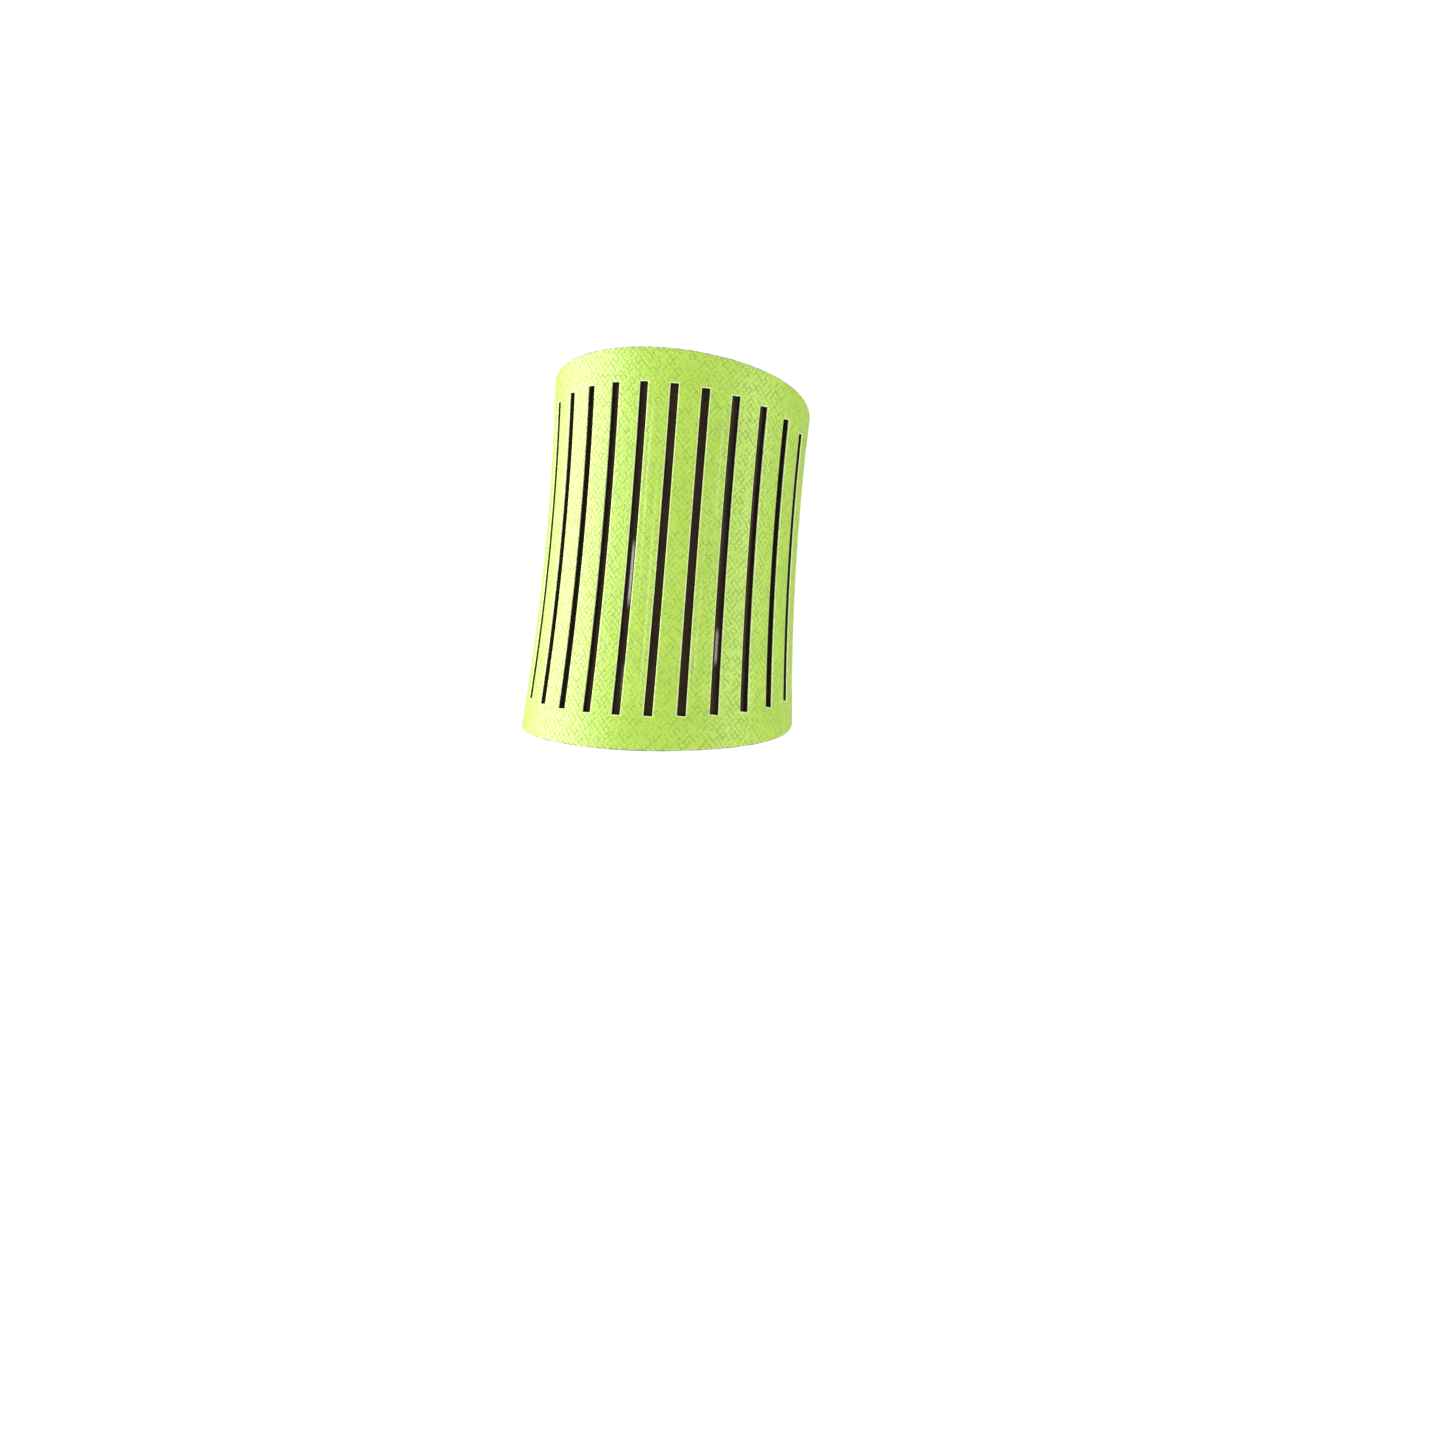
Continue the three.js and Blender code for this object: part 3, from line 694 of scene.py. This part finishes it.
def nickel_plate():
    n = Nodes("nickel_plate")
    place = n.place()
    cloud = n.noise(place, 240, 4, 0.6)
    scratch = n.noise(place, 4200, 2, 0.7)
    n.join(n.mix(cloud, NICKEL_DULL, NICKEL_BRIGHT), n.shader.inputs["Base Color"])
    n.join(n.ramp(cloud, 0.3, 0.7, 0.16, 0.28), n.shader.inputs["Roughness"])
    n.join(n.bump(scratch, 0.12, 0.01 * MM), n.shader.inputs["Normal"])
    n.shader.inputs["Metallic"].default_value = 1
    return n.material


def spring_steel():
    n = Nodes("spring_steel")
    place = n.place()
    drawn = n.noise(place, 2500, 3, 0.6)
    n.join(n.mix(drawn, STEEL_DULL, STEEL_BRIGHT), n.shader.inputs["Base Color"])
    n.join(n.ramp(drawn, 0.2, 0.8, 0.25, 0.4), n.shader.inputs["Roughness"])
    n.join(n.bump(drawn, 0.2, 0.01 * MM), n.shader.inputs["Normal"])
    n.shader.inputs["Metallic"].default_value = 1
    return n.material


lime, burnt, lining_brown = lime_leather(), burnt_edge(), dark_lining()
nickel, steel = nickel_plate(), spring_steel()


# ---- The leather's pieces

LAYERS = (
    ("outer_leather", "outer_leather", 0, OUTER_THICKNESS + GLUE_LINE - LAYERS_APART, True, lime),
    ("lining", "lining", OUTER_THICKNESS + GLUE_LINE, LEATHER_THICKNESS, False, lining_brown),
)
REPLACED = {
    "underlap": ["underlap"], "front_left": ["left_side"], "front_right": ["front"],
    "back_right": ["right_side", "right_back"], "tab": ["snap_tab"],
}

for layer, slot, top, bottom, slotted, face in LAYERS:
    for stretch, start, stop, body_a, body_b, bend_start, bend_end in STRETCHES:
        piece = leather_piece(f"{layer}_piece_{stretch}", start, stop, top, bottom, slotted, (face, burnt))
        if stretch == "tab":
            drill(piece, CAP_TUBE_R, BACK_Y)
        if stretch == "underlap":
            drill(piece, POST_TUBE_R, BACK_Y - UNDERLAP_DROP)
        ends = [band_point(at, 0.0, 0.0) for at in (bend_start, bend_end)]
        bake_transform(piece)
        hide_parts(*(f"{layer}_{place}" for place in REPLACED[stretch]))


# ---- The press studs, turned about +Y

TURN_STEPS = 96
FILLET_STEPS = 5
DOME_STEPS = 24
SPRING_STEPS = 90
SPRING_END_STEPS = 7
SPRING_SIDES = 20
METAL_SHARP_ANGLE = math.radians(35)


def rounded(corners, closed):
    """An outline of (radius, depth) whose corners (radius, depth, fillet) are rounded."""
    outline = []
    for n, (radius, depth, fillet) in enumerate(corners):
        corner = np.array([radius, depth])
        at_end = not closed and n in (0, len(corners) - 1)
        if fillet == 0 or at_end:
            outline.append(corner)
            continue
        before = np.array(corners[n - 1][:2]) - corner
        after = np.array(corners[(n + 1) % len(corners)][:2]) - corner
        start = corner + before * min(fillet / np.linalg.norm(before), 0.45)
        end = corner + after * min(fillet / np.linalg.norm(after), 0.45)
        for t in np.linspace(0, 1, FILLET_STEPS):
            outline.append((1 - t) ** 2 * start + 2 * t * (1 - t) * corner + t ** 2 * end)
    return outline


def mesh_piece(name, points, faces, material):
    mesh = bpy.data.meshes.new(name)
    mesh.from_pydata([tuple(p) for p in points], [], faces)
    work = bmesh.new()
    work.from_mesh(mesh)
    bmesh.ops.recalc_face_normals(work, faces=work.faces)
    work.to_mesh(mesh)
    work.free()
    mesh.polygons.foreach_set("use_smooth", np.ones(len(mesh.polygons), bool))
    mesh.set_sharp_from_angle(angle=METAL_SHARP_ANGLE)
    mesh.materials.append(material)
    piece = bpy.data.objects.new(name, mesh)
    bpy.context.scene.collection.objects.link(piece)
    return piece


def turned_piece(name, corners, closed, centre_z, material):
    outline = rounded(corners, closed)
    points, rings = [], []
    for radius, depth in outline:
        count = 1 if radius < 1e-9 else TURN_STEPS
        rings.append([len(points) + n for n in range(count)])
        for n in range(count):
            angle = 2 * math.pi * n / TURN_STEPS
            points.append((radius * math.cos(angle), BACK_Y - depth, centre_z + radius * math.sin(angle)))
    pairs = list(zip(rings, rings[1:]))
    if closed:
        pairs.append((rings[-1], rings[0]))
    faces = []
    for a, b in pairs:
        for n in range(TURN_STEPS):
            m = (n + 1) % TURN_STEPS
            corner_ids = [a[n % len(a)], a[m % len(a)], b[m % len(b)], b[n % len(b)]]
            faces.append(list(dict.fromkeys(corner_ids)))
    return mesh_piece(name, points, faces, material)


def cap_corners():
    seat = -SEAT_GAP
    underside = seat - CAP_SHEET
    bore = CAP_TUBE_R - TUBE_WALL
    crown = CAP_HEIGHT - CAP_RIM_HEIGHT
    flare_start = SOCKET_TOP + SOCKET_FLOOR + SEAT_GAP / 2
    flare_end = flare_start + TUBE_FLARE
    dome = []
    for turn in np.linspace(0, math.pi / 2, DOME_STEPS)[1:-1]:
        dome.append((CAP_R * math.cos(turn), seat - CAP_RIM_HEIGHT - crown * math.sin(turn), 0))
    dome.append((0, seat - CAP_HEIGHT, 0))
    return [
        (0, underside, 0),
        (bore, underside, 0.1 * MM),
        (bore, flare_start, 0.15 * MM),
        (CAP_TUBE_R, flare_end, 0.1 * MM),
        (CAP_TUBE_R + TUBE_FLARE, flare_end - SEAT_GAP, 0.1 * MM),
        (CAP_TUBE_R, flare_start, 0.15 * MM),
        (CAP_TUBE_R, underside, 0.1 * MM),
        (CAP_R - CAP_RIM_WIDTH - 0.3 * MM, underside, 0.1 * MM),
        (CAP_R - CAP_RIM_WIDTH, seat, 0.1 * MM),
        (CAP_R - 0.15 * MM, seat, 0.2 * MM),
        (CAP_R, seat - CAP_RIM_HEIGHT * 0.5, 0.12 * MM),
        *dome,
    ]


def socket_corners():
    floor = SOCKET_TOP + SOCKET_FLOOR
    flange = SOCKET_TOP + SOCKET_FLANGE
    groove_end = SOCKET_MOUTH - SOCKET_LIP
    hole = CAP_TUBE_R + METAL_HOLE_CLEARANCE
    return [
        (hole, SOCKET_TOP, 0.05 * MM),
        (hole, floor, 0.08 * MM),
        (SOCKET_GROOVE_R, floor, 0.35 * MM),
        (SOCKET_GROOVE_R, groove_end, 0.08 * MM),
        (SOCKET_MOUTH_R, groove_end, 0.12 * MM),
        (SOCKET_MOUTH_R, SOCKET_MOUTH, 0.15 * MM),
        (SOCKET_WALL_R, SOCKET_MOUTH, 0.35 * MM),
        (SOCKET_WALL_R, flange, 0.12 * MM),
        (SOCKET_FLANGE_R, flange, 0.15 * MM),
        (SOCKET_FLANGE_R, SOCKET_TOP, 0.1 * MM),
    ]


def stud_corners():
    base = STUD_BASE_TOP + STUD_BASE
    top = STUD_BASE_TOP - STUD_RISE
    hole = POST_TUBE_R + METAL_HOLE_CLEARANCE
    return [
        (hole, base, 0.05 * MM),
        (STUD_R, base, 0.1 * MM),
        (STUD_R, STUD_BASE_TOP, 0.2 * MM),
        (STUD_NECK_R, STUD_BASE_TOP, 0.15 * MM),
        (STUD_NECK_R, STUD_BASE_TOP - STUD_NECK, 0.15 * MM),
        (STUD_HEAD_R, STUD_BASE_TOP - 2 * STUD_NECK, 0.15 * MM),
        (STUD_HEAD_R, top, 0.3 * MM),
        (hole, top, 0.1 * MM),
        (hole, top + STUD_SHEET, 0.08 * MM),
        (STUD_CAVITY_R, top + STUD_SHEET, 0.08 * MM),
        (STUD_CAVITY_R, STUD_BASE_TOP, 0.08 * MM),
        (hole, STUD_BASE_TOP, 0.08 * MM),
    ]


def post_corners():
    seat = UNDERLAP_DROP + LEATHER_THICKNESS + SEAT_GAP
    bore = POST_TUBE_R - TUBE_WALL
    flare_start = STUD_BASE_TOP - SEAT_GAP / 2
    flare_end = flare_start - TUBE_FLARE
    return [
        (0, seat + POST_FLANGE, 0),
        (POST_R, seat + POST_FLANGE, 0.35 * MM),
        (POST_R, seat, 0.1 * MM),
        (POST_TUBE_R, seat, 0.1 * MM),
        (POST_TUBE_R, flare_start, 0.12 * MM),
        (POST_TUBE_R + TUBE_FLARE - SEAT_GAP, flare_end + SEAT_GAP, 0.1 * MM),
        (POST_TUBE_R, flare_end, 0.1 * MM),
        (bore, flare_start, 0.12 * MM),
        (bore, seat, 0.1 * MM),
        (0, seat, 0),
    ]


def spring_piece(name, centre_z, material):
    """Open ring of round wire with rounded ends."""
    radius = SOCKET_MOUTH_R + SPRING_CLEARANCE + SPRING_WIRE_R
    centre_y = BACK_Y - (SOCKET_MOUTH - SOCKET_LIP - SPRING_WIRE_R - SPRING_CLEARANCE)
    end_turn = SPRING_WIRE_R / radius
    body = np.linspace(SPRING_GAP / 2 + end_turn, 2 * math.pi - SPRING_GAP / 2 - end_turn, SPRING_STEPS)
    cap = np.linspace(0, math.pi / 2, SPRING_END_STEPS)[1:]
    stations = [(body[0] - end_turn * math.sin(c), math.cos(c)) for c in cap[::-1]]
    stations += [(angle, 1) for angle in body]
    stations += [(body[-1] + end_turn * math.sin(c), math.cos(c)) for c in cap]
    points, faces = [], []
    for angle, share in stations:
        for n in range(SPRING_SIDES):
            around = 2 * math.pi * n / SPRING_SIDES
            out = radius + SPRING_WIRE_R * max(share, 0.05) * math.cos(around)
            up = SPRING_WIRE_R * max(share, 0.05) * math.sin(around)
            points.append((out * math.cos(angle), centre_y + up, centre_z + out * math.sin(angle)))
    for row in range(len(stations) - 1):
        here = row * SPRING_SIDES
        beyond = here + SPRING_SIDES
        for n in range(SPRING_SIDES):
            m = (n + 1) % SPRING_SIDES
            faces.append([here + n, here + m, beyond + m, beyond + n])
    faces.append(list(range(SPRING_SIDES)))
    faces.append(list(range(len(points) - SPRING_SIDES, len(points))))
    return mesh_piece(name, points, faces, material)


for place, side in (("upper", 1), ("lower", -1)):
    centre_z = side * STUD_HALF_SPACING
    for kind, corners, closed, body in (
        ("snap_cap", cap_corners(), False, "snap_tab"),
        ("snap_socket", socket_corners(), True, "snap_tab"),
        ("snap_stud", stud_corners(), True, "underlap"),
        ("snap_post", post_corners(), False, "underlap"),
    ):
        piece = turned_piece(f"turned_{kind}_{place}", corners, closed, centre_z, nickel)
        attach(piece, body)
        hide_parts(f"{kind}_{place}")
    piece = spring_piece(f"coiled_ring_spring_{place}", centre_z, steel)
    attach(piece, "snap_tab")
    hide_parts(f"ring_spring_{place}")

# ---- Stage, light and camera

CAMERA_YAW = -0.322
CAMERA_PITCH = -0.036
CAMERA_ROLL = 0.078
CAMERA_DISTANCE = 602 * MM
CAMERA_ACROSS = -12.7 * MM     # the band's middle lies this far across and up from the view's axis
CAMERA_UP = 40.1 * MM
LENS = 59.8
SENSOR = 36
FLOOR_Z = -140 * MM
FLOOR_PALE = (0.90, 0.90, 0.90, 1)
FLOOR_PALER = (0.93, 0.93, 0.93, 1)
AMBIENT = 0.41
BACKDROP = 1.05
TOP_LIGHT = 2.4


def place_camera():
    cos_yaw, sin_yaw = math.cos(CAMERA_YAW), math.sin(CAMERA_YAW)
    cos_pitch, sin_pitch = math.cos(CAMERA_PITCH), math.sin(CAMERA_PITCH)
    cos_roll, sin_roll = math.cos(CAMERA_ROLL), math.sin(CAMERA_ROLL)
    level = Vector((cos_yaw, -sin_yaw, 0))
    upright = Vector((sin_yaw * sin_pitch, cos_yaw * sin_pitch, cos_pitch))
    right = cos_roll * level + sin_roll * upright
    up = cos_roll * upright - sin_roll * level
    forward = Vector((sin_yaw * cos_pitch, cos_yaw * cos_pitch, -sin_pitch))
    data = bpy.data.cameras.new("camera")
    data.lens, data.sensor_width = LENS, SENSOR
    data.clip_start, data.clip_end = 0.01, 50
    camera = bpy.data.objects.new("camera", data)
    camera.matrix_world = Matrix((right, up, -forward)).transposed().to_4x4()
    camera.location = -CAMERA_ACROSS * right - CAMERA_UP * up - CAMERA_DISTANCE * forward
    bpy.context.scene.collection.objects.link(camera)
    bpy.context.scene.camera = camera


def place_softbox(name, bearing, rise, away, width, height, glow):
    """A softbox that faces the band. Its bearing is leftwards from the camera's side, in degrees."""
    turn = -CAMERA_YAW - math.radians(bearing)
    side = Vector((math.sin(turn), -math.cos(turn), 0))
    spot = side * away + Vector((0, 0, rise))
    data = bpy.data.lights.new(name, "AREA")
    data.shape, data.size, data.size_y = "RECTANGLE", width, height
    data.energy = glow * math.pi * width * height
    light = bpy.data.objects.new(name, data)
    light.location = spot
    light.rotation_euler = (-spot).to_track_quat("-Z", "Y").to_euler()
    bpy.context.scene.collection.objects.link(light)


def place_top_light():
    """Straight down, so that the floor stays white and the upright band hardly notices."""
    data = bpy.data.lights.new("top_light", "SUN")
    data.energy, data.angle = TOP_LIGHT, math.radians(50)
    light = bpy.data.objects.new("top_light", data)
    bpy.context.scene.collection.objects.link(light)


def place_floor():
    bpy.ops.mesh.primitive_plane_add(size=8, location=(0, 0, FLOOR_Z))
    floor = bpy.context.object
    floor.name = "floor"
    n = Nodes("pale_floor")
    soft = n.noise(n.place(), 3, 2)
    n.join(n.mix(soft, FLOOR_PALE, FLOOR_PALER), n.shader.inputs["Base Color"])
    n.shader.inputs["Roughness"].default_value = 0.9
    floor.data.materials.append(n.material)


def light_world():
    """White where the camera sees it, and a little dimmer as light."""
    world = bpy.data.worlds.new("studio")
    world.use_nodes = True
    tree = world.node_tree
    background = tree.nodes["Background"]
    background.inputs["Color"].default_value = (1, 1, 1, 1)
    seen = tree.nodes.new("ShaderNodeLightPath").outputs["Is Camera Ray"]
    strength = tree.nodes.new("ShaderNodeMapRange")
    strength.inputs["To Min"].default_value = AMBIENT
    strength.inputs["To Max"].default_value = BACKDROP
    tree.links.new(seen, strength.inputs["Value"])
    tree.links.new(strength.outputs[0], background.inputs["Strength"])
    bpy.context.scene.world = world


place_camera()
place_floor()
light_world()
place_top_light()
place_softbox("key_left", bearing=91, rise=0.10, away=0.8, width=0.85, height=0.4, glow=8)
place_softbox("right_strip", bearing=-58, rise=0.05, away=0.8, width=0.06, height=0.6, glow=19)
bpy.context.scene.view_settings.view_transform = "Standard"
